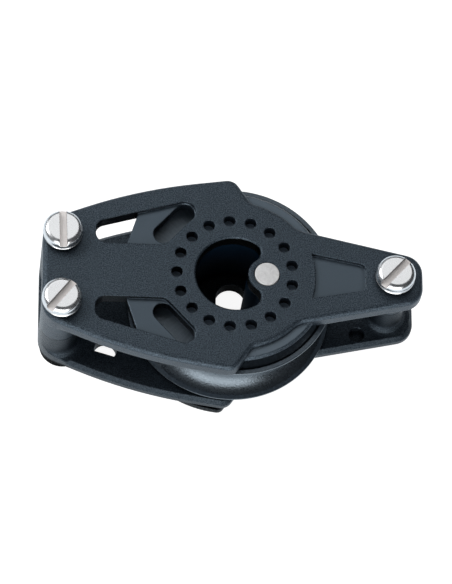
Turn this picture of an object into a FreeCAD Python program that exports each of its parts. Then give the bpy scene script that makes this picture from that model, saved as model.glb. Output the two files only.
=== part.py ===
import FreeCAD, Part
import itertools
import math
import os
import Sketcher

# Foot block: a rope sheave on two rows of balls, held between two moulded side plates.
# Millimetres. The origin is on the sheave's axis, in the plane that the three feet stand on.
# +X runs to the single-screw end, +Z up through the plates.

SIZES = [
    # Stack from the deck upwards
    ("foot_height", 1.5),
    ("plate_thickness", 3.0),
    ("plate_gap", 14.0),
    # Outline of both side plates, as distances from the sheave's axis
    ("left_reach", 38.05),
    ("left_half_width", 10.45),
    ("left_corner_radius", 5.0),
    ("flank_bulge", 2.41),
    ("flank_blend_share", 0.61),
    ("shoulder_x", 0.17),
    ("shoulder_cover", 0.8),
    ("shoulder_radius", 2.5),
    ("shoulder_slope_angle", 55.6),
    ("crown_inset", 4.1),
    ("crown_root_radius", 1.5),
    ("arm_root_radius", 5.0),
    ("arm_taper_angle", 12.4),
    ("arm_reach", 37.35),
    ("arm_end_half_width", 4.8),
    ("arm_corner_radius", 4.0),
    ("outer_edge_radius", 1.0),
    ("inner_edge_bevel", 0.8),
    # Ledge that follows the sheave between the shoulder and the arm
    ("ledge_inset", 2.0),
    ("ledge_root", 2.1),
    ("ledge_drop", 1.2),
    ("ledge_overlap_angle", 2.5),
    ("ledge_edge_bevel", 0.5),
    # Fastener places, as distances in from the plates' ends, and the posts around them
    ("left_screw_inset_x", 3.85),
    ("left_screw_inset_y", 3.15),
    ("right_screw_inset", 5.65),
    ("screw_bore", 4.4),
    ("left_post_radius", 3.9),
    ("right_post_radius", 3.3),
    ("post_root_radius", 1.8),
    # Raised bosses that the screw heads bear on
    ("head_boss_diameter", 7.0),
    ("head_boss_height", 0.95),
    # Feet under the posts and the seat ring under the hub
    ("left_foot_inset", 0.4),
    ("right_foot_radius", 3.7),
    ("seat_inset", 0.2),
    ("seat_slope_inset", 1.0),
    ("seat_crown_inset", 0.4),
    ("seat_width", 3.1),
    ("seat_tip_radius", 1.5),
    # Windows in the upper plate
    ("window_left_x", 27.6),
    ("window_inner_y", 5.75),
    ("window_outer_slope", 16.1),
    ("window_tip_x", 9.94),
    ("window_tip_y", 13.25),
    ("window_tip_radius", 2.2),
    ("window_slant_angle", 47.8),
    ("window_corner_radius", 2.0),
    ("window_left_radius", 2.2),
    ("window_recess_depth", 0.9),
    ("window_opening_inner_x", 21.45),
    ("window_opening_outer_x", 19.2),
    ("slot_radius", 2.0),
    ("slot_length", 6.3),
    # Shallow pocket in the arm
    ("arm_pocket_start_radius", 16.0),
    ("arm_pocket_end_x", 26.0),
    ("arm_pocket_start_half", 4.9),
    ("arm_pocket_end_half", 2.85),
    ("arm_pocket_corner_radius", 1.5),
    ("arm_pocket_depth", 0.9),
    # Ring of small blind holes over the ball track
    ("ring_hole_count", 17),
    ("ring_hole_diameter", 2.3),
    ("ring_hole_side_count", 16),
    ("ring_hole_depth", 2.4),
    # Hub with its kidney-shaped bore
    ("bore_radius", 7.8),
    ("rivet_x", 6.3),
    ("rivet_boss_radius", 3.75),
    ("bore_corner_radius", 2.15),
    ("bore_rim_bevel", 0.3),
    ("lower_lobe_x", 0.62),
    ("lower_lobe_y", 2.6),
    ("lower_lobe_radius", 3.05),
    # Lower plate: drain openings and dimples
    ("drain_x", 24.6),
    ("drain_y", 9.75),
    ("drain_radius", 2.25),
    ("drain_flat_offset", 0.85),
    ("dimple_x", 26.0),
    ("dimple_y", 4.6),
    ("dimple_diameter", 3.1),
    ("dimple_depth", 1.2),
    # Rivet
    ("rivet_head_diameter", 4.85),
    ("rivet_head_height", 1.0),
    ("rivet_head_rise", 0.3),
    ("rivet_shank_diameter", 3.6),
    ("rivet_head_gap", 0.12),
    ("rivet_fit_gap", 0.03),
    # Sheave and its ball bearing
    ("sheave_radius", 20.2),
    ("sheave_width", 12.5),
    ("rim_thickness", 0.45),
    ("groove_floor_radius", 15.5),
    ("side_dish_depth", 0.5),
    ("side_dish_rim", 0.9),
    ("ball_pitch_radius", 11.52),
    ("ball_diameter", 4.0),
    ("ball_gap", 0.04),
    ("ball_count", 17),
    ("row_offset", 2.9),
    ("track_depth", 0.5),
    # Pan-head screws
    ("screw_shank_diameter", 4.0),
    ("screw_head_diameter", 7.8),
    ("screw_head_height", 2.4),
    ("screw_head_flat", 6.0),
    ("screw_head_side", 1.2),
    ("screw_tip_height", 5.5),
    ("screw_tip_chamfer", 0.5),
    ("slot_width", 1.5),
    ("slot_depth", 1.1),
    ("far_slot_angle", 92.0),
    ("near_slot_angle", 52.0),
    ("right_slot_angle", 48.0),
]

# A place of zero in an expression
ON_AXIS = "0"

# First value of a sketch dimension, before its expression sets it
DRAFT = 1.0

# Degrees of turn that one straight step of chords() takes
CHORD_ANGLE = 30

# Straight steps across the sheave's groove
GROOVE_STEPS = 6

# The three fasteners: name, place along X and Y, and the size of the post round each
LEFT_SCREW_X = "sizes.left_screw_inset_x - sizes.left_reach"
RIGHT_SCREW_X = "sizes.arm_reach - sizes.right_screw_inset"
FAR_SCREW_Y = "sizes.left_half_width - sizes.left_screw_inset_y"
NEAR_SCREW_Y = "sizes.left_screw_inset_y - sizes.left_half_width"
SCREW_PLACES = [
    ("far", LEFT_SCREW_X, FAR_SCREW_Y, "left_post_radius"),
    ("near", LEFT_SCREW_X, NEAR_SCREW_Y, "left_post_radius"),
    ("right", RIGHT_SCREW_X, ON_AXIS, "right_post_radius"),
]

doc = FreeCAD.newDocument("foot_block")
sheet = doc.addObject("Spreadsheet::Sheet", "sizes")
for row, (alias, value) in enumerate(SIZES, start=1):
    sheet.set("A%d" % row, alias)
    sheet.set("B%d" % row, str(value))
    sheet.setAlias("B%d" % row, alias)
doc.recompute()


def size(alias):
    """Value of one named size."""
    return float(getattr(sheet, alias))


def cell(alias):
    """Expression that names one size in the sheet."""
    return "sizes." + alias


def vector(x, y, z=0.0):
    return FreeCAD.Vector(x, y, z)


def radians(degrees):
    return math.radians(degrees)


# Heights, as expressions of the stack
BASE_OUTER = cell("foot_height")
BASE_INNER = "sizes.foot_height + sizes.plate_thickness"
MIDDLE = BASE_INNER + " + sizes.plate_gap / 2"
TOP_INNER = BASE_INNER + " + sizes.plate_gap"
TOP_OUTER = TOP_INNER + " + sizes.plate_thickness"
HEAD_SEAT = TOP_OUTER + " + sizes.head_boss_height"
RIVET_HOLE = "sizes.rivet_shank_diameter + 2 * sizes.rivet_fit_gap"

middle = size("foot_height") + size("plate_thickness") + size("plate_gap") / 2
top_inner = middle + size("plate_gap") / 2
top_outer = top_inner + size("plate_thickness")
base_inner = middle - size("plate_gap") / 2
base_outer = size("foot_height")
head_seat = top_outer + size("head_boss_height")

# Radii of the plates that follow the sheave
shoulder_half_width = size("sheave_radius") + size("shoulder_cover")
crown_radius = size("sheave_radius") - size("crown_inset")
ledge_radius = size("sheave_radius") - size("ledge_inset")


# Outlines: lists of path pieces, each ("line", start, end) or ("arc", centre, start, end, turn)

def rounded(corners):
    """Closed path through corners given as (x, y, radius); radius 0 keeps a corner sharp."""
    count = len(corners)
    stops = []
    for index, (x, y, radius) in enumerate(corners):
        here = vector(x, y)
        before = vector(*corners[index - 1][:2]) - here
        after = vector(*corners[(index + 1) % count][:2]) - here
        before.normalize()
        after.normalize()
        if radius == 0:
            stops.append((here, here, None, 0, 0))
            continue
        half = before.getAngle(after) / 2
        reach = radius / math.tan(half)
        middle_line = before + after
        middle_line.normalize()
        centre = here + middle_line * (radius / math.sin(half))
        turn = 1 if (-before).cross(after).z > 0 else -1
        stops.append((here + before * reach, here + after * reach, centre, radius, turn))
    path = []
    for index, stop in enumerate(stops):
        start, end, centre, radius, turn = stop
        if centre is not None:
            path.append(("arc", centre, start, end, turn))
        path.append(("line", end, stops[(index + 1) % count][0]))
    return path


def mirrored(path):
    """The same path on the other side of the X axis."""
    def flip(point):
        return vector(point.x, -point.y)
    result = []
    for piece in path:
        if piece[0] == "line":
            result.append(("line", flip(piece[1]), flip(piece[2])))
        else:
            result.append(("arc", flip(piece[1]), flip(piece[2]), flip(piece[3]), -piece[4]))
    return result


def chords(centre, start, end, turn):
    """Straight steps in place of an arc, for a curve that many turned faces repeat."""
    first = math.atan2(start.y - centre.y, start.x - centre.x)
    last = math.atan2(end.y - centre.y, end.x - centre.x)
    sweep = (last - first) * turn % (2 * math.pi) * turn
    steps = max(2, math.ceil(abs(sweep) / radians(CHORD_ANGLE)))
    reach = (start - centre).Length
    stops = []
    for step in range(steps + 1):
        angle = first + sweep * step / steps
        stops.append(centre + vector(math.cos(angle), math.sin(angle)) * reach)
    stops[0] = start
    stops[-1] = end
    return [("line", stops[step], stops[step + 1]) for step in range(steps)]


def draw(sketch, path):
    """Add a closed path to a sketch, its ends joined."""
    ends = []
    for piece in path:
        if piece[0] == "line":
            number = sketch.addGeometry(Part.LineSegment(piece[1], piece[2]), False)
            ends.append((number, 1, 2))
            continue
        centre, start, end, turn = piece[1:]
        circle = Part.Circle(centre, vector(0, 0, 1), (start - centre).Length)
        first = math.atan2(start.y - centre.y, start.x - centre.x)
        last = math.atan2(end.y - centre.y, end.x - centre.x)
        if turn < 0:
            first, last = last, first
        if last <= first:
            last += 2 * math.pi
        number = sketch.addGeometry(Part.ArcOfCircle(circle, first, last), False)
        ends.append((number, 1, 2) if turn > 0 else (number, 2, 1))
    for index, (number, start, end) in enumerate(ends):
        following = ends[(index + 1) % len(ends)]
        sketch.addConstraint(Sketcher.Constraint("Coincident", number, end, following[0], following[1]))


def heading(angle):
    return vector(math.cos(radians(angle)), math.sin(radians(angle)))


def turn_of(point):
    """Angle of a point about the axis, in degrees."""
    return math.degrees(math.atan2(point.y, point.x))


def on_edge(through, angle, reach, side):
    """Point of a straight edge at a distance from the axis; side is 1 for the one ahead, -1 behind."""
    along = heading(angle)
    nearest = through - along * through.dot(along)
    return nearest + along * (side * math.sqrt(reach ** 2 - nearest.Length ** 2))


def crown_join(through, angle, radius, side):
    """Centre and both ends of the arc that leads from a straight edge into the crown."""
    outward = heading(angle + 90)
    centre = on_edge(through + outward * radius, angle, crown_radius + radius, side)
    return centre, centre - outward * radius, centre * (crown_radius / centre.Length)


def slope_edge(inset=0.0):
    """A point and the heading of the edge that falls from the shoulder to the crown."""
    angle = -size("shoulder_slope_angle")
    shoulder = vector(-size("shoulder_x"), shoulder_half_width)
    return shoulder - heading(angle + 90) * inset, angle


def arm_edge():
    """A point and the heading of the arm's long edge."""
    return vector(size("arm_reach"), size("arm_end_half_width")), -size("arm_taper_angle")


def replaced(path, pieces):
    """The path with pieces in place of its straight run between their two ends."""
    start, end = pieces[0][2], pieces[-1][3]
    result = []
    for piece in path:
        straight = piece[0] == "line" and (piece[1] - start).Length + (piece[2] - end).Length < 1e-9
        result += pieces if straight else [piece]
    return result


def plate_outline():
    """Raised outline of a side plate: pointed left body, crown round the hub, tapering arm."""
    shoulder, slope_angle = slope_edge()
    arm_end, taper_angle = arm_edge()
    root, root_start, root_end = crown_join(shoulder, slope_angle, size("crown_root_radius"), -1)
    arm_root, arm_root_end, arm_root_start = crown_join(arm_end, taper_angle, size("arm_root_radius"), 1)
    left_end = vector(-size("left_reach"), size("left_half_width"))
    flank = (left_end + shoulder) * 0.5 + vector(0, size("flank_bulge"))
    turn = (flank - left_end).getAngle(shoulder - flank)
    flank_radius = size("flank_blend_share") * (shoulder - flank).Length / math.tan(turn / 2)
    half = [
        (left_end.x, left_end.y, size("left_corner_radius")),
        (flank.x, flank.y, flank_radius),
        (shoulder.x, shoulder.y, size("shoulder_radius")),
        (root_start.x, root_start.y, 0),
        (arm_root_end.x, arm_root_end.y, 0),
        (arm_end.x, arm_end.y, size("arm_corner_radius")),
    ]
    other = [(x, -y, radius) for x, y, radius in reversed(half)]
    crown = [
        ("arc", root, root_start, root_end, 1),
        ("arc", vector(0, 0), root_end, arm_root_start, -1),
        ("arc", arm_root, arm_root_start, arm_root_end, 1),
    ]
    near_crown = [
        ("arc", centre, end, start, -turn)
        for kind, centre, start, end, turn in reversed(mirrored(crown))
    ]
    return replaced(replaced(rounded(half + other), crown), near_crown)


def ring_sector(inner, outer, first, last):
    """Sector of a flat ring between two radii and two angles."""
    def at(radius, angle):
        return vector(radius * math.cos(radians(angle)), radius * math.sin(radians(angle)))
    middle_point = vector(0, 0)
    return [
        ("arc", middle_point, at(outer, last), at(outer, first), 1),
        ("line", at(outer, first), at(inner, first)),
        ("arc", middle_point, at(inner, first), at(inner, last), -1),
        ("line", at(inner, last), at(outer, last)),
    ]


def window_corners():
    """Corners of a window: straight inner edge, sloped outer edge, slanted edge to a round tip."""
    tip = vector(-size("window_tip_x"), size("window_tip_y"))
    outer_slope = radians(size("window_outer_slope"))
    slant = radians(size("window_slant_angle"))
    half = (slant - outer_slope) / 2
    toward = (slant + outer_slope) / 2
    distance = size("window_tip_radius") / math.sin(half)
    point = tip + vector(math.cos(toward), math.sin(toward)) * distance
    inner_y = size("window_inner_y")
    foot_x = point.x - (point.y - inner_y) / math.tan(slant)
    left_x = -size("window_left_x")
    outer_y = point.y - (point.x - left_x) * math.tan(outer_slope)
    return [
        (left_x, inner_y, size("window_left_radius")),
        (foot_x, inner_y, size("window_corner_radius")),
        (point.x, point.y, size("window_tip_radius")),
        (left_x, outer_y, size("window_left_radius")),
    ]


def window_opening():
    """The part of a window that goes right through: its left end, closed by a slanted edge."""
    corners = window_corners()
    left_inner, left_outer = corners[0], corners[3]
    outer_x = -size("window_opening_outer_x")
    slope = math.tan(radians(size("window_outer_slope")))
    outer_y = left_outer[1] + (outer_x - left_outer[0]) * slope
    return rounded([
        left_inner,
        (-size("window_opening_inner_x"), left_inner[1], 0),
        (outer_x, outer_y, 0),
        left_outer,
    ])


def obround(first, second, radius):
    """Slot with round ends about two centres."""
    along = second - first
    along.normalize()
    side = vector(-along.y, along.x) * radius
    return [
        ("line", first - side, second - side),
        ("arc", second, second - side, second + side, 1),
        ("line", second + side, first + side),
        ("arc", first, first + side, first - side, 1),
    ]


def slot_path():
    """Slanted slot at the hub end of a window."""
    tip = vector(-size("window_tip_x"), size("window_tip_y"))
    slant = radians(size("window_slant_angle"))
    other = tip - vector(math.cos(slant), math.sin(slant)) * size("slot_length")
    return obround(other, tip, size("slot_radius"))


def kidney_path():
    """Round bore bitten by the boss round the rivet, with rounded corners."""
    bore = size("bore_radius")
    boss = size("rivet_boss_radius")
    corner = size("bore_corner_radius")
    rivet = vector(size("rivet_x"), 0)
    far = bore - corner
    near = boss + corner
    x = (far ** 2 - near ** 2 + rivet.x ** 2) / (2 * rivet.x)
    y = math.sqrt(far ** 2 - x ** 2)
    upper, lower = vector(x, y), vector(x, -y)
    axis = vector(0, 0)

    def outer_touch(centre):
        return centre * (bore / centre.Length)

    def boss_touch(centre):
        away = centre - rivet
        return rivet + away * (boss / away.Length)

    return [
        ("arc", axis, outer_touch(upper), outer_touch(lower), 1),
        ("arc", lower, outer_touch(lower), boss_touch(lower), 1),
        ("arc", rivet, boss_touch(lower), boss_touch(upper), -1),
        ("arc", upper, boss_touch(upper), outer_touch(upper), 1),
    ]


def lower_opening_path():
    """Smaller opening in the lower plate: two lobes joined on the left, bitten by the rivet boss."""
    lobe = vector(size("lower_lobe_x"), size("lower_lobe_y"))
    other = vector(lobe.x, -lobe.y)
    radius = size("lower_lobe_radius")
    boss = size("rivet_boss_radius")
    rivet = vector(size("rivet_x"), 0)
    apart = rivet - lobe
    along = (radius ** 2 - boss ** 2 + apart.Length ** 2) / (2 * apart.Length)
    across = math.sqrt(radius ** 2 - along ** 2)
    direction = apart * (1 / apart.Length)
    upper_touch = lobe + direction * along + vector(direction.y, -direction.x) * across
    if upper_touch.y < (lobe + direction * along).y:
        upper_touch = lobe + direction * along + vector(-direction.y, direction.x) * across
    left_upper = lobe + vector(-radius, 0)
    left_lower = other + vector(-radius, 0)
    lower_touch = vector(upper_touch.x, -upper_touch.y)
    return [
        ("line", left_upper, left_lower),
        ("arc", other, left_lower, lower_touch, 1),
        ("arc", rivet, lower_touch, upper_touch, -1),
        ("arc", lobe, upper_touch, left_upper, 1),
    ]


def drain_path():
    """Drain opening: a circle cut off by a flat that runs along the plate's flank."""
    centre = vector(-size("drain_x"), size("drain_y"))
    radius = size("drain_radius")
    offset = size("drain_flat_offset")
    slope = radians(size("window_outer_slope"))
    outward = vector(-math.sin(slope), math.cos(slope))
    along = vector(math.cos(slope), math.sin(slope))
    half = math.sqrt(radius ** 2 - offset ** 2)
    left = centre + outward * offset - along * half
    right = centre + outward * offset + along * half
    return [("arc", centre, left, right, 1), ("line", right, left)]


def ring_hole_path():
    """First hole of the ring, drawn with flat sides so that the ring stays light."""
    centre = vector(-size("ball_pitch_radius"), 0)
    sides = int(size("ring_hole_side_count"))
    corners = []
    for index in range(sides):
        turn = 2 * math.pi * (index + 0.5) / sides
        corner = centre + vector(math.cos(turn), math.sin(turn)) * (size("ring_hole_diameter") / 2)
        corners.append((corner.x, corner.y, 0))
    return rounded(corners)


def arm_pocket_path():
    """Pocket in the arm: curved towards the hub, tapering to a rounded end."""
    start_radius = size("arm_pocket_start_radius")
    start_y = size("arm_pocket_start_half")
    start_x = math.sqrt(start_radius ** 2 - start_y ** 2)
    end_x = size("arm_pocket_end_x")
    end_y = size("arm_pocket_end_half")
    corner = size("arm_pocket_corner_radius")
    path = rounded([
        (start_x, -start_y, 0),
        (end_x, -end_y, corner),
        (end_x, end_y, corner),
        (start_x, start_y, 0),
    ])
    path[-1] = ("arc", vector(0, 0), vector(start_x, start_y), vector(start_x, -start_y), -1)
    return path


# Building steps

def new_body(name):
    body = doc.addObject("PartDesign::Body", name)
    body.Label = name
    return body


def origin_plane(body, role):
    return [item for item in body.Origin.OriginFeatures if item.Role == role][0]


def new_sketch(body, name, height="0", role="XY_Plane"):
    """Sketch on one of the body's own planes, lifted off it by an expression."""
    sketch = body.newObject("Sketcher::SketchObject", name)
    sketch.AttachmentSupport = [(origin_plane(body, role), "")]
    sketch.MapMode = "FlatFace"
    sketch.setExpression("AttachmentOffset.Base.z", height)
    return sketch


def add_circle(sketch, x, y, diameter):
    """Circle whose centre and diameter are expressions; ON_AXIS keeps the centre on that axis."""
    number = sketch.addGeometry(Part.Circle(vector(DRAFT, DRAFT), vector(0, 0, 1), DRAFT), False)
    for place, kind, axis in ((x, "DistanceX", -2), (y, "DistanceY", -1)):
        if place == ON_AXIS:
            sketch.addConstraint(Sketcher.Constraint("PointOnObject", number, 3, axis))
        else:
            constraint = sketch.addConstraint(Sketcher.Constraint(kind, -1, 1, number, 3, DRAFT))
            sketch.setExpression("Constraints[%d]" % constraint, place)
    constraint = sketch.addConstraint(Sketcher.Constraint("Diameter", number, 2 * DRAFT))
    sketch.setExpression("Constraints[%d]" % constraint, diameter)


def add_feature(body, kind, sketch, name, length, upward):
    """Pad or Pocket from a sketch; upward says which way it goes along Z."""
    feature = body.newObject("PartDesign::" + kind, name)
    feature.Profile = sketch
    feature.setExpression("Length", length)
    if kind == "Pad":
        feature.Reversed = not upward
    else:
        feature.Reversed = upward
    sketch.Visibility = False
    doc.recompute()
    return feature


def pad(body, sketch, name, length, upward=True):
    return add_feature(body, "Pad", sketch, name, length, upward)


def pocket(body, sketch, name, length, upward=False):
    """Pocket, compared with the volume before it so that it can't miss the solid."""
    before = body.Shape.Volume
    feature = add_feature(body, "Pocket", sketch, name, length, upward)
    if body.Shape.Volume >= before - 1e-6:
        raise RuntimeError(name + " removed nothing")
    return feature


def flat_edges(shape, height, keep=None):
    """Names of the edges that lie at one height, limited by an optional test."""
    names = []
    for number, edge in enumerate(shape.Edges, start=1):
        box = edge.BoundBox
        if abs(box.ZMin - height) > 1e-4 or abs(box.ZMax - height) > 1e-4:
            continue
        if keep is None or keep(edge):
            names.append("Edge%d" % number)
    return names


def round_edges(body, base, name, edges, radius):
    feature = body.newObject("PartDesign::Fillet", name)
    feature.Base = (base, edges)
    feature.setExpression("Radius", radius)
    doc.recompute()
    return feature


def bevel_edges(body, base, name, edges, width):
    feature = body.newObject("PartDesign::Chamfer", name)
    feature.Base = (base, edges)
    feature.setExpression("Size", width)
    doc.recompute()
    return feature


def revolve(body, name, path, cut=False, x=ON_AXIS, y=ON_AXIS):
    """Turn a profile about an upright axis; it is drawn with X as radius and Y as height."""
    sketch = new_sketch(body, name + "_profile", "-(%s)" % y, "XZ_Plane")
    sketch.setExpression("AttachmentOffset.Base.x", x)
    draw(sketch, path)
    kind = "Groove" if cut else "Revolution"
    feature = body.newObject("PartDesign::" + kind, name)
    feature.Profile = sketch
    feature.ReferenceAxis = (sketch, ["V_Axis"])
    feature.Angle = 360
    sketch.Visibility = False
    doc.recompute()
    return feature


def post(body, place, inner, upward):
    """Half post that runs from a plate's inner face to the middle, with a flared root sunk into the plate."""
    side, x, y, radius_name = place
    radius = size(radius_name)
    root = size("post_root_radius")
    sign = 1 if upward else -1
    end = inner + sign * size("plate_gap") / 2
    sunk = inner - sign * size("inner_edge_bevel")
    foot = vector(radius + root, inner)
    neck = vector(radius, inner + sign * root)
    profile = [("line", vector(0, sunk), vector(foot.x, sunk)), ("line", vector(foot.x, sunk), foot)]
    profile += chords(vector(foot.x, neck.y), foot, neck, -sign)
    profile += [
        ("line", neck, vector(radius, end)),
        ("line", vector(radius, end), vector(0, end)),
        ("line", vector(0, end), vector(0, sunk)),
    ]
    revolve(body, "post_" + side, profile, x=x, y=y)


def trim_to_outline(body, height, depth, upward):
    """Cut away what the flared posts reach beyond the plate's outline."""
    reach = size("left_reach") * 2
    sketch = new_sketch(body, "outside_of_outline", height)
    draw(sketch, rounded([(-reach, -reach, 0), (reach, -reach, 0), (reach, reach, 0), (-reach, reach, 0)]))
    draw(sketch, plate_outline())
    return add_feature(body, "Pocket", sketch, "trim_posts", depth, upward)


def side_plate(name, inner, inner_expression, upward):
    """Plate with its rounded outline, ledges and three half posts; upward is the way it faces out."""
    body = new_body(name)
    sign = 1 if upward else -1
    outer = inner + sign * size("plate_thickness")
    sketch = new_sketch(body, "outline", inner_expression)
    draw(sketch, plate_outline())
    plate = pad(body, sketch, "plate", cell("plate_thickness"), upward)
    edges = flat_edges(plate.Shape, outer)
    if upward:
        round_edges(body, plate, "outer_edge", edges, cell("outer_edge_radius"))
    else:
        bevel_edges(body, plate, "outer_edge", edges, cell("outer_edge_radius"))

    ledge_sketch = new_sketch(body, "ledge_outline", inner_expression)
    overlap = size("ledge_overlap_angle")
    ledge_start = turn_of(on_edge(*slope_edge(), ledge_radius, -1)) + overlap
    ledge_end = turn_of(on_edge(*arm_edge(), ledge_radius, 1)) - overlap
    sector = ring_sector(crown_radius - size("ledge_root"), ledge_radius, ledge_start, ledge_end)
    draw(ledge_sketch, sector)
    draw(ledge_sketch, mirrored(sector))
    ledge = pad(body, ledge_sketch, "ledge", "sizes.plate_thickness - sizes.ledge_drop", upward)
    ledge_height = outer - sign * size("ledge_drop")

    def on_ledge(edge):
        curve = edge.Curve
        return isinstance(curve, Part.Circle) and abs(curve.Radius - ledge_radius) < 1e-3
    edges = flat_edges(ledge.Shape, ledge_height, on_ledge)
    edge = bevel_edges(body, ledge, "ledge_edge", edges, cell("ledge_edge_bevel"))
    if not upward:
        bevel_edges(body, edge, "inner_edge", flat_edges(edge.Shape, inner), cell("inner_edge_bevel"))

    for place in SCREW_PLACES:
        post(body, place, inner, not upward)
    away = "+" if upward else "-"
    trim_to_outline(body, "%s %s sizes.inner_edge_bevel" % (inner_expression, away),
                    "sizes.inner_edge_bevel + sizes.plate_gap / 2", not upward)
    return body


def screw_bores(body, height, depth, upward):
    sketch = new_sketch(body, "screw_bores", height)
    for side, x, y, radius_name in SCREW_PLACES:
        add_circle(sketch, x, y, cell("screw_bore"))
    return pocket(body, sketch, "screw_bore", depth, upward)


def rivet_bore(body, outer_expression, upward):
    """Counterbore for the rivet's head and the hole for its shank."""
    head = new_sketch(body, "rivet_counterbore_outline", outer_expression)
    add_circle(head, cell("rivet_x"), ON_AXIS, "sizes.rivet_head_diameter + 2 * sizes.rivet_head_gap")
    pocket(body, head, "rivet_counterbore", "sizes.rivet_head_height - sizes.rivet_head_rise", upward)
    shank = new_sketch(body, "rivet_hole_outline", outer_expression)
    add_circle(shank, cell("rivet_x"), ON_AXIS, RIVET_HOLE)
    pocket(body, shank, "rivet_hole", cell("plate_thickness"), upward)


def top_plate():
    body = side_plate("top_plate", top_inner, TOP_INNER, True)
    bosses = new_sketch(body, "head_boss_outline", TOP_INNER)
    for side, x, y, radius_name in SCREW_PLACES:
        add_circle(bosses, x, y, cell("head_boss_diameter"))
    pad(body, bosses, "head_bosses", "sizes.plate_thickness + sizes.head_boss_height")

    windows = new_sketch(body, "window_outline", TOP_OUTER)
    path = rounded(window_corners())
    draw(windows, path)
    draw(windows, mirrored(path))
    pocket(body, windows, "window_recess", cell("window_recess_depth"))

    openings = new_sketch(body, "window_openings", TOP_OUTER)
    for path in (window_opening(), slot_path()):
        draw(openings, path)
        draw(openings, mirrored(path))
    pocket(body, openings, "window_opening", cell("plate_thickness"))

    arm = new_sketch(body, "arm_pocket_outline", TOP_OUTER)
    draw(arm, arm_pocket_path())
    pocket(body, arm, "arm_pocket", cell("arm_pocket_depth"))

    hole = new_sketch(body, "ring_hole_outline", TOP_OUTER)
    draw(hole, ring_hole_path())
    first_hole = pocket(body, hole, "ring_hole", cell("ring_hole_depth"))
    ring = body.newObject("PartDesign::PolarPattern", "ring_of_holes")
    ring.Originals = [first_hole]
    ring.Axis = (hole, ["N_Axis"])
    ring.Angle = 360
    ring.setExpression("Occurrences", cell("ring_hole_count"))
    body.Tip = ring
    doc.recompute()

    bore = new_sketch(body, "bore_outline", TOP_OUTER)
    draw(bore, kidney_path())
    cut = pocket(body, bore, "bore", cell("plate_thickness"))

    def on_bore(edge):
        reach = size("bore_radius") + 1e-3
        return all(vector(end.X, end.Y).Length < reach for end in edge.Vertexes)
    edges = flat_edges(cut.Shape, top_outer, on_bore)
    bevel_edges(body, cut, "bore_rim", edges, cell("bore_rim_bevel"))
    rivet_bore(body, TOP_OUTER, False)
    depth = "sizes.head_boss_height + sizes.plate_thickness + sizes.plate_gap / 2"
    screw_bores(body, HEAD_SEAT, depth, False)
    return body


def seat_path():
    """Outline of the ring that seats the hub's surroundings on the deck, wider towards the shoulders."""
    reach = shoulder_half_width - size("seat_inset")
    radius = size("seat_tip_radius")
    through, angle = slope_edge(size("seat_slope_inset"))
    outward = heading(angle + 90)
    tip = on_edge(through - outward * radius, angle, reach - radius, -1)
    half = [tip, tip * (reach / tip.Length), tip + outward * radius,
            on_edge(through, angle, crown_radius - size("seat_crown_inset"), -1)]
    near_tip, near_start, near_end, near_root = [vector(point.x, -point.y) for point in half]
    tip, start, end, root = half
    axis = vector(0, 0)
    return [
        ("arc", axis, start, near_start, 1),
        ("arc", near_tip, near_start, near_end, 1),
        ("line", near_end, near_root),
        ("arc", axis, near_root, root, 1),
        ("line", root, end),
        ("arc", tip, end, start, 1),
    ]


def stand(body):
    """Feet under the posts and the seat ring, all down to the deck."""
    left_corner = plate_outline()[0][1]
    feet = new_sketch(body, "feet_outline", BASE_OUTER)
    for y in (left_corner.y, -left_corner.y):
        add_circle(feet, "sizes.left_corner_radius - sizes.left_reach", repr(y),
                   "2 * (sizes.left_corner_radius - sizes.left_foot_inset)")
    add_circle(feet, RIGHT_SCREW_X, ON_AXIS, "2 * sizes.right_foot_radius")
    pad(body, feet, "feet", cell("foot_height"), False)

    seat = new_sketch(body, "seat_outline", BASE_OUTER)
    draw(seat, seat_path())
    inner = crown_radius - size("seat_crown_inset") - size("seat_width")
    add_circle(seat, ON_AXIS, ON_AXIS, repr(2 * inner))
    pad(body, seat, "seat_ring", cell("foot_height"), False)


def bottom_plate():
    body = side_plate("bottom_plate", base_inner, BASE_INNER, False)
    stand(body)

    opening = new_sketch(body, "lower_opening_outline", BASE_INNER)
    draw(opening, lower_opening_path())
    draw(opening, drain_path())
    draw(opening, mirrored(drain_path()))
    pocket(body, opening, "lower_opening", cell("plate_thickness"))

    dimples = new_sketch(body, "dimple_outline", BASE_INNER)
    for y in ("sizes.dimple_y", "-sizes.dimple_y"):
        add_circle(dimples, cell("dimple_x"), y, cell("dimple_diameter"))
    pocket(body, dimples, "dimples", cell("dimple_depth"))
    rivet_bore(body, BASE_OUTER, True)
    screw_bores(body, "0", "sizes.foot_height + sizes.plate_thickness + sizes.plate_gap / 2", True)
    return body


def hub():
    """Inner ring that carries both ball tracks; its bore is kidney shaped."""
    body = new_body("hub")
    sketch = new_sketch(body, "ring_outline", BASE_INNER)
    reach = "2 * (sizes.ball_pitch_radius - sizes.ball_diameter / 2 + sizes.track_depth)"
    add_circle(sketch, ON_AXIS, ON_AXIS, reach)
    pad(body, sketch, "ring", cell("plate_gap"))
    ball_tracks(body)
    bore = new_sketch(body, "bore_outline", TOP_INNER)
    draw(bore, kidney_path())
    pocket(body, bore, "bore", cell("plate_gap"))
    rivet = new_sketch(body, "rivet_hole_outline", TOP_INNER)
    add_circle(rivet, cell("rivet_x"), ON_AXIS, RIVET_HOLE)
    pocket(body, rivet, "rivet_hole", cell("plate_gap"))
    return body


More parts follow.
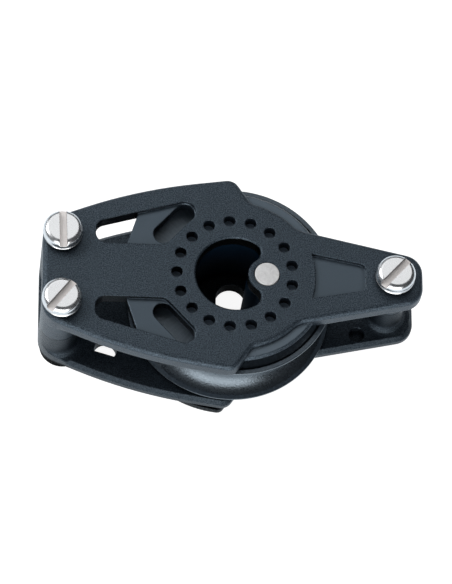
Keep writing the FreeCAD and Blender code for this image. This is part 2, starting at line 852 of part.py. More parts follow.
def ball_tracks(body):
    """Two tracks turned into a ring, each with eight flats that just clear the balls."""
    pitch = size("ball_pitch_radius")
    track = size("ball_diameter") / 2 + size("ball_gap")
    corner = track * math.tan(math.pi / 8)
    for name, offset in (("upper_track", size("row_offset")), ("lower_track", -size("row_offset"))):
        height = middle + offset
        before = body.Shape.Volume
        revolve(body, name, rounded([
            (pitch - track, height - corner, 0), (pitch - corner, height - track, 0),
            (pitch + corner, height - track, 0), (pitch + track, height - corner, 0),
            (pitch + track, height + corner, 0), (pitch + corner, height + track, 0),
            (pitch - corner, height + track, 0), (pitch - track, height + corner, 0),
        ]), cut=True)
        if body.Shape.Volume >= before:
            raise RuntimeError(name + " removed nothing")


def sheave():
    """Rope sheave: oval groove, thin rims, dished sides and two ball tracks."""
    body = new_body("sheave")
    half = size("sheave_width") / 2
    rim = size("sheave_radius")
    bore = size("ball_pitch_radius") + size("ball_diameter") / 2 - size("track_depth")
    edge = half - size("rim_thickness")
    deep = rim - size("groove_floor_radius")
    dish = size("side_dish_depth")
    dish_rim = rim - size("side_dish_rim")
    hub_side = bore + size("side_dish_rim")
    stops = []
    for step in range(GROOVE_STEPS + 1):
        angle = math.pi * (step / GROOVE_STEPS - 0.5)
        stops.append(vector(rim - deep * math.cos(angle), middle - edge * math.sin(angle)))
    groove_top, groove_base = stops[0], stops[-1]
    profile = [("line", start, end) for start, end in zip(stops, stops[1:])]
    profile += [
        ("line", groove_base, vector(rim, middle - half)),
        ("line", vector(rim, middle - half), vector(dish_rim, middle - half)),
        ("line", vector(dish_rim, middle - half), vector(dish_rim - dish, middle - half + dish)),
        ("line", vector(dish_rim - dish, middle - half + dish), vector(hub_side, middle - half + dish)),
        ("line", vector(hub_side, middle - half + dish), vector(hub_side - dish, middle - half)),
        ("line", vector(hub_side - dish, middle - half), vector(bore, middle - half)),
        ("line", vector(bore, middle - half), vector(bore, middle + half)),
        ("line", vector(bore, middle + half), vector(hub_side - dish, middle + half)),
        ("line", vector(hub_side - dish, middle + half), vector(hub_side, middle + half - dish)),
        ("line", vector(hub_side, middle + half - dish), vector(dish_rim - dish, middle + half - dish)),
        ("line", vector(dish_rim - dish, middle + half - dish), vector(dish_rim, middle + half)),
        ("line", vector(dish_rim, middle + half), vector(rim, middle + half)),
        ("line", vector(rim, middle + half), groove_top),
    ]
    revolve(body, "wheel", profile)
    ball_tracks(body)
    return body


def ball_shape(radius):
    """Ball with eighty flat faces, few enough to repeat for every ball of the bearing."""
    golden = (1 + math.sqrt(5)) / 2
    corners = []
    for short in (-1, 1):
        for long in (-golden, golden):
            corners += [vector(0, short, long), vector(short, long, 0), vector(long, 0, short)]
    edge_length = 2.0

    def on_ball(point):
        return point * (radius / point.Length)

    faces = []
    for first, second, third in itertools.combinations(corners, 3):
        sides = ((first - second).Length, (second - third).Length, (third - first).Length)
        if max(sides) > edge_length + 1e-6:
            continue
        between = (first + second, second + third, third + first)
        for triangle in (
            (first, between[0], between[2]),
            (second, between[1], between[0]),
            (third, between[2], between[1]),
            between,
        ):
            points = [on_ball(point) for point in triangle]
            faces.append(Part.Face(Part.makePolygon(points + points[:1])))
    shell = Part.Shell(faces)
    shell.sewShape()
    solid = Part.Solid(shell)
    if solid.Volume < 0:
        solid.reverse()
    return solid


def ball_row(name, offset, phase):
    """One row of balls, each a sub-part of its own; phase shifts the row by a part of a step."""
    shape = ball_shape(size("ball_diameter") / 2)
    row_of_balls = []
    for index in range(int(size("ball_count"))):
        ball = doc.addObject("Part::Feature", "%s_%02d" % (name, index + 1))
        ball.Label = ball.Name
        ball.Shape = shape
        turn = "%r * 360 deg / sizes.ball_count" % (index + phase)
        ball.setExpression("Placement.Base.x", "sizes.ball_pitch_radius * cos(%s)" % turn)
        ball.setExpression("Placement.Base.y", "sizes.ball_pitch_radius * sin(%s)" % turn)
        ball.setExpression("Placement.Base.z", MIDDLE + offset)
        row_of_balls.append(ball)
    doc.recompute()
    return row_of_balls


def rivet():
    """Rivet with a flat head at each end, just proud of both plates."""
    body = new_body("rivet")
    head = size("rivet_head_diameter") / 2
    shank = size("rivet_shank_diameter") / 2
    low = base_outer - size("rivet_head_rise")
    low_head = low + size("rivet_head_height")
    high = top_outer + size("rivet_head_rise")
    high_head = high - size("rivet_head_height")
    revolve(body, "turned", rounded([
        (0, low, 0), (head, low, 0), (head, low_head, 0), (shank, low_head, 0),
        (shank, high_head, 0), (head, high_head, 0), (head, high, 0), (0, high, 0)]))
    body.setExpression("Placement.Base.x", cell("rivet_x"))
    doc.recompute()
    return body


def screw(name, x, y, angle):
    """Slotted pan-head screw, its head on a boss of the upper plate."""
    body = new_body(name)
    head = size("screw_head_diameter") / 2
    flat = size("screw_head_flat") / 2
    side = head_seat + size("screw_head_side")
    crest = head_seat + size("screw_head_height")
    shank = size("screw_shank_diameter") / 2
    tip = size("screw_tip_height")
    chamfer = size("screw_tip_chamfer")
    rise = crest - side
    run = head - flat
    bulge = (rise ** 2 + run ** 2) / (2 * run)
    centre = vector(head - bulge, side)
    if bulge < rise:
        raise RuntimeError("the screw head's side is too steep")
    start, end = vector(head, side), vector(flat, crest)
    profile = [
        ("line", vector(0, tip), vector(shank - chamfer, tip)),
        ("line", vector(shank - chamfer, tip), vector(shank, tip + chamfer)),
        ("line", vector(shank, tip + chamfer), vector(shank, head_seat)),
        ("line", vector(shank, head_seat), vector(head, head_seat)),
        ("line", vector(head, head_seat), start),
    ]
    profile += chords(centre, start, end, 1)
    profile += [("line", end, vector(0, crest)), ("line", vector(0, crest), vector(0, tip))]
    revolve(body, "turned", profile)
    slot = new_sketch(body, "slot_outline", HEAD_SEAT + " + sizes.screw_head_height")
    half_width = size("slot_width") / 2
    draw(slot, rounded([(-head, -half_width, 0), (head, -half_width, 0),
                        (head, half_width, 0), (-head, half_width, 0)]))
    pocket(body, slot, "slot", cell("slot_depth"))
    body.Placement.Rotation = FreeCAD.Rotation(vector(0, 0, 1), size(angle))
    body.setExpression("Placement.Base.x", x)
    body.setExpression("Placement.Base.y", y)
    doc.recompute()
    return body


def check_and_write(parts):
    """Stop at anything that failed, then write one file for each sub-part."""
    doc.recompute()
    for item in doc.Objects:
        if "Invalid" in item.State or "Error" in item.State:
            raise RuntimeError("%s failed: %s" % (item.Name, item.State))
    os.makedirs("parts", exist_ok=True)
    for part in parts:
        shape = part.Shape
        if shape.isNull() or not shape.isValid():
            raise RuntimeError(part.Label + " has no valid shape")
        shape.exportStep(os.path.join("parts", part.Label + ".step"))


check_and_write(
    [
        top_plate(),
        bottom_plate(),
        hub(),
        sheave(),
        rivet(),
        screw("screw_left_far", LEFT_SCREW_X, FAR_SCREW_Y, "far_slot_angle"),
        screw("screw_left_near", LEFT_SCREW_X, NEAR_SCREW_Y, "near_slot_angle"),
        screw("screw_right", RIGHT_SCREW_X, ON_AXIS, "right_slot_angle"),
    ]
    + ball_row("ball_upper", " + sizes.row_offset", 0)
    + ball_row("ball_lower", " - sizes.row_offset", 0.5)
)
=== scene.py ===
import math

import bmesh
import bpy
from mathutils import Matrix, Vector


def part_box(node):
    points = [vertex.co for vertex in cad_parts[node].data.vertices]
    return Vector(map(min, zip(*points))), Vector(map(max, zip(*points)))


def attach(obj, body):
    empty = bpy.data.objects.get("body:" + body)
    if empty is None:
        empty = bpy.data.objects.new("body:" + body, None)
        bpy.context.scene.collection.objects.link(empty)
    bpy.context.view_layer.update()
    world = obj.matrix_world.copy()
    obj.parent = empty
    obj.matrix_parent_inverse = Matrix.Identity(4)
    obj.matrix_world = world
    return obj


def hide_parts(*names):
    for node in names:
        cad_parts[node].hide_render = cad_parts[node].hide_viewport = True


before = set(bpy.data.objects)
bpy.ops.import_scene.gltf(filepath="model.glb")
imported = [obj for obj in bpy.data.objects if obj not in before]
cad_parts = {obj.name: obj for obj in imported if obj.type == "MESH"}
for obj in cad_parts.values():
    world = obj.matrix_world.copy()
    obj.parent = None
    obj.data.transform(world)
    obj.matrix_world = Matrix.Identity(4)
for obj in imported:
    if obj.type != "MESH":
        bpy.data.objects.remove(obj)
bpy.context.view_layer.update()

MM = 0.001

# Heights and radii that follow from the frame; sizes are in metres and angles in degrees
HEAD_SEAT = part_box("top_plate")[1].z
BOSS_HEIGHT = 0.95 * MM
FACE = HEAD_SEAT - BOSS_HEIGHT
DECK_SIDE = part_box("bottom_plate")[0].z
SHEAVE_LOW, SHEAVE_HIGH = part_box("sheave")
SHEAVE_RADIUS = SHEAVE_HIGH.x
SHEAVE_MIDDLE = (SHEAVE_LOW.z + SHEAVE_HIGH.z) / 2
SHEAVE_HALF_WIDTH = (SHEAVE_HIGH.z - SHEAVE_LOW.z) / 2

# Floors in the upper plate: the smooth recesses, the ledge along the windows and the ring holes
RECESS_FLOOR = FACE - 0.9 * MM
SMOOTH_ABOVE = 0.15 * MM
SMOOTH_BELOW = 0.40 * MM
LEDGE_TOP = FACE - 1.1 * MM
HOLE_FLOOR_TOP = FACE - 2.0 * MM

# Part of the upper plate round its windows and slots, inside its outer walls
WINDOW_LOW = (-29.0 * MM, -12.8 * MM)
WINDOW_HIGH = (-8.0 * MM, 12.8 * MM)

# Openings of both plates round the hub, and the height at which their posts meet
BORE_REACH = 8.6 * MM
SPLIT = SHEAVE_MIDDLE
SEAM = 0.08 * MM

# Drain openings and left feet of the lower plate, one of each to a side, where shade is painted
DRAIN_X = -24.6 * MM
DRAIN_Y = 9.75 * MM
DRAIN_REACH = 2.6 * MM
FOOT_X = -33.05 * MM
FOOT_Y = 7.08 * MM
FOOT_REACH = 6.0 * MM
FOOT_TOP = 3.0 * MM

# Rounded edges of the pieces that stay as the frame gives them
UPPER_EDGE = 0.20 * MM
LOWER_EDGE = 0.14 * MM
HUB_EDGE = 0.10 * MM
FRAME_EDGE_ANGLE = 28.0

# Sheave
GROOVE_FLOOR_RADIUS = 15.5 * MM
RIM_THICKNESS = 0.45 * MM
BEARING_RADIUS = 13.02 * MM
SIDE_RIM = 0.9 * MM
SIDE_DISH = 0.5 * MM
SHEAVE_EDGE = 0.12 * MM
SHEAVE_SEGMENTS = 288
GROOVE_STEPS = 60
GROOVE_STEPS_LEFT_OUT = 2

# Screws
HEAD_RADIUS = 3.9 * MM
HEAD_FLAT_RADIUS = 2.9 * MM
HEAD_SIDE = 1.2 * MM
HEAD_HEIGHT = 2.4 * MM
HEAD_EDGE = 0.10 * MM
HEAD_TOP_EDGE = 0.12 * MM
HEAD_BEVEL = 0.09 * MM
HEAD_EDGE_ANGLE = 35.0
DOME_STEPS = 12
SLOT_WIDTH = 1.5 * MM
SLOT_DEPTH = 1.1 * MM
SLOT_ANGLES = {"screw_left_far": 92.0, "screw_left_near": 52.0, "screw_right": 48.0}
SHANK_RADIUS = 2.0 * MM
SHANK_TIP_RADIUS = 0.6 * MM
SHANK_TAPER = 0.5 * MM
SHANK_SEGMENTS = 48
THREAD_PITCH = 0.7 * MM
THREAD_DEPTH = 0.38 * MM
THREAD_LENGTH = 9.0 * MM
THREAD_ROWS = 8
THREAD_EDGE_ANGLE = 50.0

# Rivet
RIVET_HEAD_HEIGHT = 1.0 * MM
RIVET_SHANK_RADIUS = 1.8 * MM
RIVET_EDGE = 0.14 * MM

# Turned meshes in general
TURNED_SEGMENTS = 96
TURNED_EDGE_ANGLE = 32.0
CORNER_STEPS = 5
ON_AXIS = 1e-9
TOUCHING = 0.01 * MM
WELD_REACH = 0.001 * MM
FLAT_FACE_WEIGHT = 80

# Colours, as red, green and blue
PLATE_COLOUR = (0.0050, 0.0080, 0.0125)
# Painted light: the floors of the ring holes get this pale colour in place of lamp light
HOLE_FLOOR_PAINTED_LIGHT = (0.34, 0.41, 0.50)
LEDGE_COLOUR = (0.040, 0.050, 0.061)
HUB_COLOUR = (0.0020, 0.0085, 0.0180)
SHEAVE_COLOUR = (0.006, 0.0075, 0.0095)
SHEAVE_SIDE_COLOUR = (0.021, 0.029, 0.039)
BALL_COLOUR = (0.62, 0.60, 0.54)
STEEL_COLOUR = (0.71, 0.72, 0.73)
SLOT_FLOOR_COLOUR = (0.84, 0.80, 0.78)
SLOT_WALL_COLOUR = (0.36, 0.35, 0.35)
RIVET_COLOUR = (0.68, 0.68, 0.68)
SHEEN = (0.44, 0.56, 0.67)
GLOSS_TINT = (0.74, 0.88, 1.0)

# Moulded plates: grain, relief, and places in the grain with the factor that the sheen has there
PLATE_GRAIN = 4600.0
PLATE_CLOUD = 160.0
PLATE_RELIEF = 0.10 * MM
RECESS_RELIEF = 0.3
SPARKLE = ((0.36, 0.42), (0.50, 1.0), (0.64, 1.66))
CLOUD_RANGE = (0.25, 0.75)
PLATE_ROUGHNESS = (0.38, 0.52)
PLATE_INDEX = 1.62
EDGE_REACH = 0.32 * MM
EDGE_TURN = 0.05
EDGE_POLISH = 0.16
WALL_POLISH = 0.08
FLAT_FACING = 0.9
WALL_FACING = 0.25

# Moulded plates: painted shade, as the share of colour and gloss that a face keeps
CREASE_REACH = 1.3 * MM
CREASE_LIGHT = 0.30
WALL_LIGHT = 0.80
# Recess floors keep at least this share, so less shade is painted on them
RECESS_LIGHT = 0.85
WINDOW_WALL_LIGHT = 0.16
LOWER_PLATE_LIGHT = (0.10, 0.56)
LOWER_PLATE_HEIGHTS = (1.6 * MM, 2.6 * MM)
FOOT_LIGHT = 0.08
DRAIN_LIGHT = 0.12
BORE_LIGHT = 0.004
# The seam share darkens the joint line where the two plates meet
SEAM_LIGHT = 0.25

# Sheave: the sides differ from the groove in tone, gloss and the spokes left by the mould
SHEAVE_GRAIN = 2600.0
SHEAVE_SPOKES = 26.0
SHEAVE_ROUGHNESS = (0.24, 0.38)
SHEAVE_INDEX = 1.70
SIDE_FACING = 0.96
SIDE_ROUGHER = 0.15
SIDE_LIGHT = 0.75
SPOKE_RANGE = (0.35, 0.70)

# Value ranges: most of a noise, and the openness at which a crease starts and ends
FULL_RANGE = (0.0, 1.0)
NOISE_RANGE = (0.3, 0.7)
NOISE_MIDDLE = 0.5
OPEN_RANGE = (0.35, 0.85)

# Studio: metres, watts and directions
FLOOR_HALF = 1.5
FLOOR_DROP = 0.02 * MM
FLOOR_TONE = 0.40
FLOOR_GLOW = 0.92
FLOOR_GLOSS_GLOW = 0.84
GLOW_TINT = (0.82, 0.92, 1.0)
LIGHT_AIM = Vector((0, 0, 0.01))
TENT_TINT = (0.93, 0.96, 1.0)
TENT_SIDE = (-0.92, 0.25, 0.30)
TENT_REACH = (0.0, 0.9)
TENT_STRENGTH = (0.07, 0.26)

# Camera solved from the photograph: its place in mm from the sheave's axis at the height of the face,
# and the directions of the picture's right, down and depth
CAMERA_PLACE = (-64.517, -342.755, 707.853)
CAMERA_RIGHT = (0.99626, -0.003996, 0.086279)
CAMERA_DOWN = (0.033517, -0.902759, -0.428838)
CAMERA_FORWARD = (0.079603, 0.430127, -0.899252)
CAMERA_LENS = 246.575
CAMERA_SENSOR = 36.0
CAMERA_CLIP = (0.01, 50.0)


# Shader building

def shade(colour, factor):
    return tuple(channel * factor for channel in colour)


class Shader:
    """One procedural material, built node by node."""

    def __init__(self, name):
        self.material = bpy.data.materials.new(name)
        self.material.use_nodes = True
        self.tree = self.material.node_tree
        self.surface = self.tree.nodes["Principled BSDF"]
        coordinates = self.add("ShaderNodeTexCoord")
        self.place = coordinates.outputs["Object"]
        self.normal = coordinates.outputs["Normal"]

    def feed(self, socket, value):
        """Give a socket another node's output, a colour or a number."""
        if isinstance(value, bpy.types.NodeSocket):
            self.tree.links.new(value, socket)
        elif isinstance(value, tuple):
            socket.default_value = (*value, 1.0)
        else:
            socket.default_value = value

    def add(self, kind, inputs=None, **settings):
        """New node with its settings and what its inputs are fed."""
        node = self.tree.nodes.new(kind)
        for name, value in settings.items():
            setattr(node, name, value)
        for name, value in (inputs or {}).items():
            self.feed(node.inputs[name], value)
        return node

    def finish(self, **values):
        """Feed the surface and hand over the material; an underscore stands for a space."""
        for name, value in values.items():
            self.feed(self.surface.inputs[name.replace("_", " ")], value)
        return self.material

    def axes(self, vector):
        return self.add("ShaderNodeSeparateXYZ", {"Vector": vector}).outputs

    def noise(self, scale, detail, roughness=0.55):
        """Value that clouds through the whole piece; the scale is to the metre."""
        inputs = {"Scale": scale, "Detail": detail, "Roughness": roughness, "Vector": self.place}
        return self.add("ShaderNodeTexNoise", inputs).outputs["Fac"]

    def streaks(self, scale, detail, along):
        """Noise that changes only with one value."""
        inputs = {"Scale": scale, "Detail": detail, "W": along}
        return self.add("ShaderNodeTexNoise", inputs, noise_dimensions="1D").outputs["Fac"]

    def ramp(self, value, stops):
        """Colours along a value from 0 to 1; stops are (place, colour)."""
        node = self.add("ShaderNodeValToRGB", {"Fac": value})
        elements = node.color_ramp.elements
        for element, (place, colour) in zip(elements, (stops[0], stops[-1])):
            element.position = place
            element.color = (*colour, 1.0)
        for place, colour in stops[1:-1]:
            elements.new(place).color = (*colour, 1.0)
        return node.outputs["Color"]

    def tones(self, value, colour, darker, lighter, places=NOISE_RANGE):
        """One colour from a darker to a lighter shade along a value."""
        return self.ramp(value, [(places[0], shade(colour, darker)), (places[1], shade(colour, lighter))])

    def span(self, value, result, source=FULL_RANGE):
        """Value carried from the source's range to the result's."""
        inputs = {"Value": value, "From Min": source[0], "From Max": source[1],
                  "To Min": result[0], "To Max": result[1]}
        return self.add("ShaderNodeMapRange", inputs).outputs["Result"]

    def maths(self, kind, *values):
        return self.add("ShaderNodeMath", dict(enumerate(values)), operation=kind).outputs["Value"]

    def plus(self, first, second):
        return self.maths("ADD", first, second)

    def minus(self, first, second):
        return self.maths("SUBTRACT", first, second)

    def times(self, first, second):
        return self.maths("MULTIPLY", first, second)

    def larger(self, first, second):
        return self.maths("MAXIMUM", first, second)

    def above(self, value, limit):
        """1 where a value is above a limit, 0 elsewhere."""
        return self.maths("GREATER_THAN", value, limit)

    def under(self, value, limit):
        """1 where a value is under a limit, 0 elsewhere."""
        return self.maths("LESS_THAN", value, limit)

    def dimmed(self, light, mask, share):
        """Light, of which only a share is left where the mask is 1."""
        return self.times(light, self.span(mask, (1.0, share)))

    def blend(self, mask, outside, inside):
        """One colour where the mask is 0 and another where it is 1."""
        inputs = {"Factor": mask, "A": outside, "B": inside}
        return self.add("ShaderNodeMix", inputs, data_type="RGBA").outputs["Result"]

    def scaled(self, colour, factor):
        inputs = {"Vector": colour, "Scale": factor}
        return self.add("ShaderNodeVectorMath", inputs, operation="SCALE").outputs["Vector"]

    def square_away(self, x=0.0, y=0.0):
        """Square of the distance from an upright line."""
        across = self.axes(self.place)
        right = self.minus(across["X"], x)
        back = self.minus(across["Y"], y)
        return self.plus(self.times(right, right), self.times(back, back))

    def within(self, reach, x=0.0, y=0.0):
        """1 inside an upright cylinder, 0 outside."""
        return self.under(self.square_away(x, y), reach * reach)

    def inside(self, low, high):
        """1 inside an upright box given by its low and high corners in x and y, 0 outside."""
        across = self.axes(self.place)
        result = 1.0
        for axis, bottom, top in zip("XY", low, high):
            result = self.times(self.above(across[axis], bottom), result)
            result = self.times(self.under(across[axis], top), result)
        return result

    def crease_shade(self, reach, low):
        """1 on open faces, falling to a low value where other faces stand close by; used as painted shade
        in creases.
        """
        node = self.add("ShaderNodeAmbientOcclusion", {"Distance": reach}, samples=8)
        return self.span(node.outputs["AO"], (low, 1.0), OPEN_RANGE)

    def rounded(self, reach):
        """Normals that turn softly over sharp edges."""
        return self.add("ShaderNodeBevel", {"Radius": reach}, samples=6).outputs["Normal"]

    def bump(self, height, strength, depth, below=None):
        """Normals with a relief on them, on top of other normals if those are given."""
        node = self.add("ShaderNodeBump", {"Height": height, "Strength": strength, "Distance": depth})
        if below is not None:
            self.feed(node.inputs["Normal"], below)
        return node.outputs["Normal"]


# Materials

def moulded_plate(name, upper):
    """Fibre-filled nylon with a fine grain; edges shine, and shade is painted into its creases, walls,
    openings and lower parts.
    """
    shader = Shader(name)
    grain = shader.noise(PLATE_GRAIN, detail=2.0, roughness=0.6)
    cloud = shader.noise(PLATE_CLOUD, detail=4.0)
    height = shader.axes(shader.place)["Z"]
    facing = shader.axes(shader.normal)["Z"]
    rounded = shader.rounded(EDGE_REACH)
    rounded_facing = shader.axes(rounded)["Z"]
    wall = shader.under(rounded_facing, WALL_FACING)
    turn = shader.maths("ABSOLUTE", shader.minus(rounded_facing, facing))
    on_edge = shader.above(turn, EDGE_TURN)

    tint = shader.ramp(grain, [(place, shade(SHEEN, factor)) for place, factor in SPARKLE])
    colour = shader.tones(cloud, PLATE_COLOUR, darker=0.85, lighter=1.15, places=CLOUD_RANGE)
    roughness = shader.span(grain, PLATE_ROUGHNESS, NOISE_RANGE)
    roughness = shader.minus(roughness, shader.times(on_edge, EDGE_POLISH))
    roughness = shader.minus(roughness, shader.times(wall, WALL_POLISH))
    relief = grain
    # Painted shade: colour and gloss are dimmed in creases and on upright walls
    light = shader.dimmed(shader.crease_shade(CREASE_REACH, CREASE_LIGHT), wall, WALL_LIGHT)

    if upper:
        flat = shader.above(facing, FLAT_FACING)
        low_enough = shader.under(height, RECESS_FLOOR + SMOOTH_ABOVE)
        high_enough = shader.above(height, RECESS_FLOOR - SMOOTH_BELOW)
        smooth = shader.times(shader.times(high_enough, low_enough), flat)
        ledge = shader.times(smooth, shader.under(height, LEDGE_TOP))
        # Painted light: the floors of the ring holes are painted pale and kept at full light; recess floors
        # keep most of theirs
        hole_floor = shader.times(shader.under(height, HOLE_FLOOR_TOP), flat)
        # Painted shade: the walls round the windows and slots are painted dark
        window_wall = shader.times(shader.inside(WINDOW_LOW, WINDOW_HIGH), wall)
        tint = shader.blend(smooth, tint, shader.tones(grain, SHEEN, darker=1.40, lighter=1.50))
        colour = shader.blend(hole_floor, colour, HOLE_FLOOR_PAINTED_LIGHT)
        colour = shader.blend(ledge, colour, LEDGE_COLOUR)
        relief = shader.dimmed(grain, smooth, RECESS_RELIEF)
        light = shader.larger(light, hole_floor)
        light = shader.larger(light, shader.times(smooth, RECESS_LIGHT))
        light = shader.dimmed(light, window_wall, WINDOW_WALL_LIGHT)
        seam = shader.under(height, SPLIT + SEAM)
    else:
        # Painted shade: the lower plate is painted darker, most towards the bottom, and its feet and drain
        # openings nearly dark
        light = shader.times(light, shader.span(height, LOWER_PLATE_LIGHT, LOWER_PLATE_HEIGHTS))
        low_down = shader.under(height, FOOT_TOP)
        for side in (-1, 1):
            foot = shader.times(shader.within(FOOT_REACH, FOOT_X, side * FOOT_Y), low_down)
            light = shader.dimmed(light, foot, FOOT_LIGHT)
            drain = shader.times(shader.within(DRAIN_REACH, DRAIN_X, side * DRAIN_Y), wall)
            light = shader.dimmed(light, drain, DRAIN_LIGHT)
        seam = shader.above(height, SPLIT - SEAM)

    # Painted shade: the walls of the bore round the hub are painted almost black
    bore = shader.times(shader.within(BORE_REACH), wall)
    light = shader.dimmed(light, bore, BORE_LIGHT)
    light = shader.dimmed(light, seam, SEAM_LIGHT)
    return shader.finish(
        Base_Color=shader.scaled(colour, light),
        Specular_Tint=tint,
        Specular_IOR_Level=light,
        Roughness=roughness,
        Normal=shader.bump(relief, strength=1.0, depth=PLATE_RELIEF, below=rounded),
        IOR=PLATE_INDEX,
    )


def smooth_plastic(name, colour, roughness, grain_scale, grain_strength, index):
    """Smooth plastic with a fine speckle in its gloss."""
    shader = Shader(name)
    grain = shader.noise(grain_scale, detail=2.0, roughness=0.6)
    cloud = shader.noise(scale=220.0, detail=3.0)
    return shader.finish(
        Base_Color=shader.tones(cloud, colour, darker=0.85, lighter=1.15),
        Roughness=shader.span(grain, (roughness - 0.08, roughness + 0.10), NOISE_RANGE),
        Normal=shader.bump(grain, strength=grain_strength, depth=0.04 * MM),
        IOR=index,
    )


def sheave_plastic():
    """Sheave: speckled gloss all round, with faint spokes of flow on its flat sides only."""
    shader = Shader("sheave_acetal")
    grain = shader.noise(SHEAVE_GRAIN, detail=2.0, roughness=0.65)
    across = shader.axes(shader.place)
    angle = shader.maths("ARCTAN2", across["Y"], across["X"])
    spokes = shader.streaks(SHEAVE_SPOKES, detail=3.0, along=angle)
    facing = shader.axes(shader.normal)["Z"]
    on_side = shader.above(shader.times(facing, facing), SIDE_FACING)
    spokes = shader.times(shader.minus(spokes, NOISE_MIDDLE), on_side)
    spokes = shader.plus(spokes, NOISE_MIDDLE)
    tone = shader.tones(spokes, SHEAVE_COLOUR, darker=0.85, lighter=1.25, places=SPOKE_RANGE)
    side_tone = shader.tones(spokes, SHEAVE_SIDE_COLOUR, darker=0.75, lighter=1.35, places=SPOKE_RANGE)
    roughness = shader.span(grain, SHEAVE_ROUGHNESS, NOISE_RANGE)
    fine = shader.bump(grain, strength=0.6, depth=0.06 * MM)
    return shader.finish(
        Base_Color=shader.blend(on_side, tone, side_tone),
        Roughness=shader.plus(roughness, shader.times(on_side, SIDE_ROUGHER)),
        Normal=shader.bump(spokes, strength=0.25, depth=0.08 * MM, below=fine),
        Specular_IOR_Level=shader.span(on_side, (1.0, SIDE_LIGHT)),
        Specular_Tint=GLOSS_TINT,
        IOR=SHEAVE_INDEX,
    )


def turned_steel(name, colour, roughness):
    """Satin stainless steel with fine rings from turning, round the piece's own upright axis."""
    shader = Shader(name)
    radius = shader.maths("SQRT", shader.square_away())
    rings = shader.streaks(scale=9000.0, detail=2.0, along=radius)
    smudge = shader.noise(scale=900.0, detail=4.0)
    return shader.finish(
        Metallic=1.0,
        Base_Color=shader.tones(smudge, colour, darker=0.90, lighter=1.06),
        Roughness=shader.span(smudge, (roughness - 0.05, roughness + 0.08), NOISE_RANGE),
        Normal=shader.bump(rings, strength=0.12, depth=0.02 * MM),
    )


def cast_grey(name, colour, metallic, roughness, mottle):
    """Matte light metal with a mottled skin."""
    shader = Shader(name)
    coarse = shader.noise(scale=1500.0, detail=4.0, roughness=0.65)
    return shader.finish(
        Metallic=metallic,
        Base_Color=shader.tones(coarse, colour, darker=1.0 - mottle, lighter=1.0 + mottle),
        Roughness=shader.span(coarse, (roughness - 0.08, roughness + 0.08), NOISE_RANGE),
        Normal=shader.bump(coarse, strength=0.35, depth=0.03 * MM),
    )


def paint(piece, *materials):
    piece.data.materials.clear()
    for material in materials:
        piece.data.materials.append(material)


# Mesh building

def add_object(name, data):
    piece = bpy.data.objects.new(name, data)
    bpy.context.scene.collection.objects.link(piece)
    return piece


def add_mesh(name, build):
    """Object with smooth faces from a bmesh, which is freed."""
    for face in build.faces:
        face.smooth = True
    mesh = bpy.data.meshes.new(name)
    build.to_mesh(mesh)
    build.free()
    return add_object(name, mesh)


def rounded_profile(points):
    """Profile (radius, height, rounding) with each rounded corner turned into short steps."""
    result = []
    for index, (radius, height, rounding) in enumerate(points):
        here = Vector((radius, height))
        if rounding == 0 or index in (0, len(points) - 1):
            result.append(here)
            continue
        before = (Vector(points[index - 1][:2]) - here).normalized()
        after = (Vector(points[index + 1][:2]) - here).normalized()
        half = before.angle(after) / 2
        reach = rounding / math.tan(half)
        centre = here + (before + after).normalized() * (rounding / math.sin(half))
        start = here + before * reach - centre
        end = here + after * reach - centre
        turn = start.angle_signed(end)
        for step in range(CORNER_STEPS + 1):
            spun = Matrix.Rotation(-turn * step / CORNER_STEPS, 2) @ start
            result.append(centre + spun)
    return result


def ring(build, height, radii):
    """Level ring of vertices with one radius each, or a single vertex on the axis."""
    if max(radii) < ON_AXIS:
        return [build.verts.new((0, 0, height))]
    result = []
    for index, radius in enumerate(radii):
        angle = 2 * math.pi * index / len(radii)
        result.append(build.verts.new((radius * math.cos(angle), radius * math.sin(angle), height)))
    return result


def skin(build, first, second):
    """Faces from one ring to the next; beside a single vertex they are triangles."""
    count = max(len(first), len(second))
    for index in range(count):
        following = (index + 1) % count
        corners = [first[index % len(first)], first[following % len(first)],
                   second[following % len(second)], second[index % len(second)]]
        build.faces.new(list(dict.fromkeys(corners)))


def lathe(name, profile, segments, closed=False):
    """Turn (radius, height) points about the upright axis; a closed profile makes a ring."""
    build = bmesh.new()
    rings = [ring(build, height, [radius] * segments) for radius, height in profile]
    if closed:
        rings.append(rings[0])
    for first, second in zip(rings, rings[1:]):
        skin(build, first, second)
    bmesh.ops.recalc_face_normals(build, faces=build.faces)
    return add_mesh(name, build)


def split_sharp(piece, degrees):
    modifier = piece.modifiers.new("sharp", "EDGE_SPLIT")
    modifier.split_angle = math.radians(degrees)


def weld(piece):
    modifier = piece.modifiers.new("weld", "WELD")
    modifier.merge_threshold = WELD_REACH


def round_edges(piece, width, degrees):
    """Small bevels on sharp edges, with the faces beside them kept flat."""
    bevel = piece.modifiers.new("edges", "BEVEL")
    bevel.width = width
    bevel.segments = 2
    bevel.limit_method = "ANGLE"
    bevel.angle_limit = math.radians(degrees)
    flat = piece.modifiers.new("flat", "WEIGHTED_NORMAL")
    flat.weight = FLAT_FACE_WEIGHT


def smooth_faces(piece):
    for polygon in piece.data.polygons:
        polygon.use_smooth = True


def soften(piece, width):
    """Rounded edges for a piece of the frame, whose corners are joined first."""
    smooth_faces(piece)
    weld(piece)
    round_edges(piece, width, FRAME_EDGE_ANGLE)


# Pieces that stay as the frame gives them

def plates():
    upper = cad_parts["top_plate"]
    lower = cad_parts["bottom_plate"]
    paint(upper, moulded_plate("nylon_upper", True))
    paint(lower, moulded_plate("nylon_lower", False))
    soften(upper, UPPER_EDGE)
    soften(lower, LOWER_EDGE)


def hub():
    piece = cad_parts["hub"]
    paint(piece, smooth_plastic("hub_plastic", HUB_COLOUR, roughness=0.5, grain_scale=2600.0,
                                grain_strength=0.2, index=1.035))
    soften(piece, HUB_EDGE)


